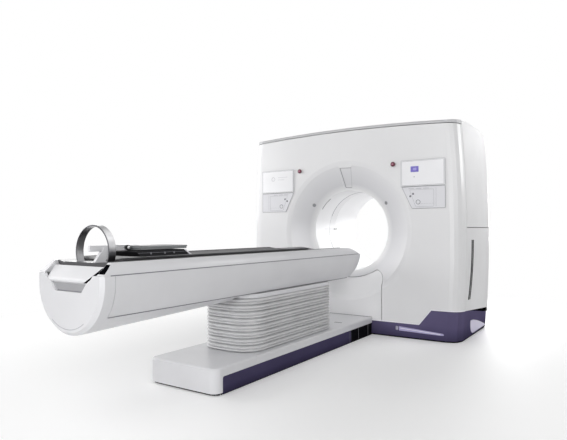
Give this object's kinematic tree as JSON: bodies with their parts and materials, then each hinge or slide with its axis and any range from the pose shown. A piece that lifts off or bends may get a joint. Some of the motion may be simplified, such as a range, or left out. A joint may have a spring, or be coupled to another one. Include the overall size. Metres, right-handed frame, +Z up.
{
  "type": "ct scanner",
  "caption": "Floor-standing computed-tomography scanner: a covered gantry with a turning inner ring, and a lifting patient table whose cradle slides through the bore.",
  "frame": {"origin": "on the floor, in the middle of the whole machine's plan", "axes": "+Z up, +Y from the foot of the table to the back of the gantry, +X to the right as seen facing the gantry from the table"},
  "size_m": [2.272, 4.16, 2.012],
  "materials": {
    "cover_white": "satin moulded cover",
    "liner_grey": "satin moulded liner",
    "window_film": "smooth thin window",
    "screen_white": "glossy screen",
    "key_film": "smooth sealed key film",
    "stop_red": "satin moulded button",
    "base_plum": "satin moulded base",
    "trim_lilac": "satin inlay",
    "skirt_plum": "satin moulded skirt",
    "skirt_black": "matt black skirt",
    "frame_steel": "grey powder coat",
    "bearing_steel": "ground steel",
    "alloy": "machined aluminium",
    "slip_ring_brass": "contact ring with metal tracks",
    "unit_grey": "grey coated housing",
    "table_white": "satin moulded shell",
    "bellows_grey": "folded coated cloth",
    "cradle_carbon": "satin carbon shell",
    "mattress_black": "soft matt vinyl",
    "hoop_metal": "satin metal strip",
    "tray_slate": "matt slate coat",
    "black_plastic": "matt moulded"
  },
  "bodies": {
    "gantry": {"front_cover": "cover_white", "dock_cover": "cover_white", "top_cover": "cover_white", "rear_cover": "cover_white", "rear_funnel": "cover_white", "side_cover_left": "cover_white", "side_cover_right": "cover_white", "side_panel_left": "cover_white", "side_panel_right": "cover_white", "front_liner": "liner_grey", "scan_window": "window_film", "display_left": "screen_white", "display_right": "screen_white", "keypad_left": "key_film", "keypad_right": "key_film", "base_cover": "base_plum", "plinth_skirts": "skirt_plum", "base_skirt": "skirt_black", "dock_skirts": "skirt_black", "floor_frame": "frame_steel", "stator_frame": "frame_steel", "table_base_plate": "frame_steel", "lift_outer_tubes": "frame_steel", "lift_drive": "frame_steel", "bearing_outer_ring": "bearing_steel", "plinth_end_cap": "table_white", "plinth_cover": "table_white", "bellows": "bellows_grey"},
    "rotor": {"bearing_inner_ring": "bearing_steel", "rotor_plate": "alloy", "slip_ring": "slip_ring_brass", "detector": "unit_grey", "xray_tube": "unit_grey", "collimator": "bearing_steel", "hv_generator": "unit_grey", "power_unit": "unit_grey", "heat_exchanger": "alloy"},
    "stop_left": {"stop_button_left": "stop_red"},
    "stop_right": {"stop_button_right": "stop_red"},
    "lift_middle": {"lift_middle_tubes": "frame_steel"},
    "table_top": {"lift_inner_tubes": "frame_steel", "bellows_collar": "table_white", "trough_shell": "table_white", "lower_pan": "table_white", "trough_end_cap": "table_white", "foot_fairing": "table_white", "table_beam": "alloy", "table_deck": "alloy", "side_rail_left": "table_white", "side_rail_right": "table_white"},
    "cradle": {"cradle": "cradle_carbon", "cradle_pad": "mattress_black", "cradle_carriage": "alloy", "hoop": "hoop_metal", "tray_bracket": "table_white", "accessory_case": "black_plastic"},
    "tray": {"tray_plate": "tray_slate", "tray_knob": "black_plastic"}
  },
  "joints": [
    {"name": "gantry_rotor", "type": "hinge", "parent": "gantry", "child": "rotor", "pos_m": [0, 1.6, 0.985], "axis": [0, 1, 0], "continuous": true},
    {"name": "stop_left_press", "type": "slide", "parent": "gantry", "child": "stop_left", "axis": [0, 1, 0], "range_m": [0, 0.004], "stiffness_N_per_m": 1500, "springref_m": -0.002},
    {"name": "stop_right_press", "type": "slide", "parent": "gantry", "child": "stop_right", "axis": [0, 1, 0], "range_m": [0, 0.004], "stiffness_N_per_m": 1500, "springref_m": -0.002},
    {"name": "table_lift", "type": "slide", "parent": "gantry", "child": "table_top", "axis": [0, 0, 1], "range_m": [-0.28, 0], "deforming": ["bellows"]},
    {"name": "lift_stage", "type": "slide", "parent": "gantry", "child": "lift_middle", "axis": [0, 0, 1], "range_m": [-0.14, 0]},
    {"name": "cradle_slide", "type": "slide", "parent": "table_top", "child": "cradle", "axis": [0, 1, 0], "range_m": [0, 1.65]},
    {"name": "tray_tilt", "type": "hinge", "parent": "cradle", "child": "tray", "pos_m": [0.095, -1.802, 0.897], "axis": [1, 0, 0], "range_deg": [0, 90]}
  ],
  "couplings": [
    {"joint": "lift_stage", "follows": "table_lift", "ratio": 0.5}
  ]
}
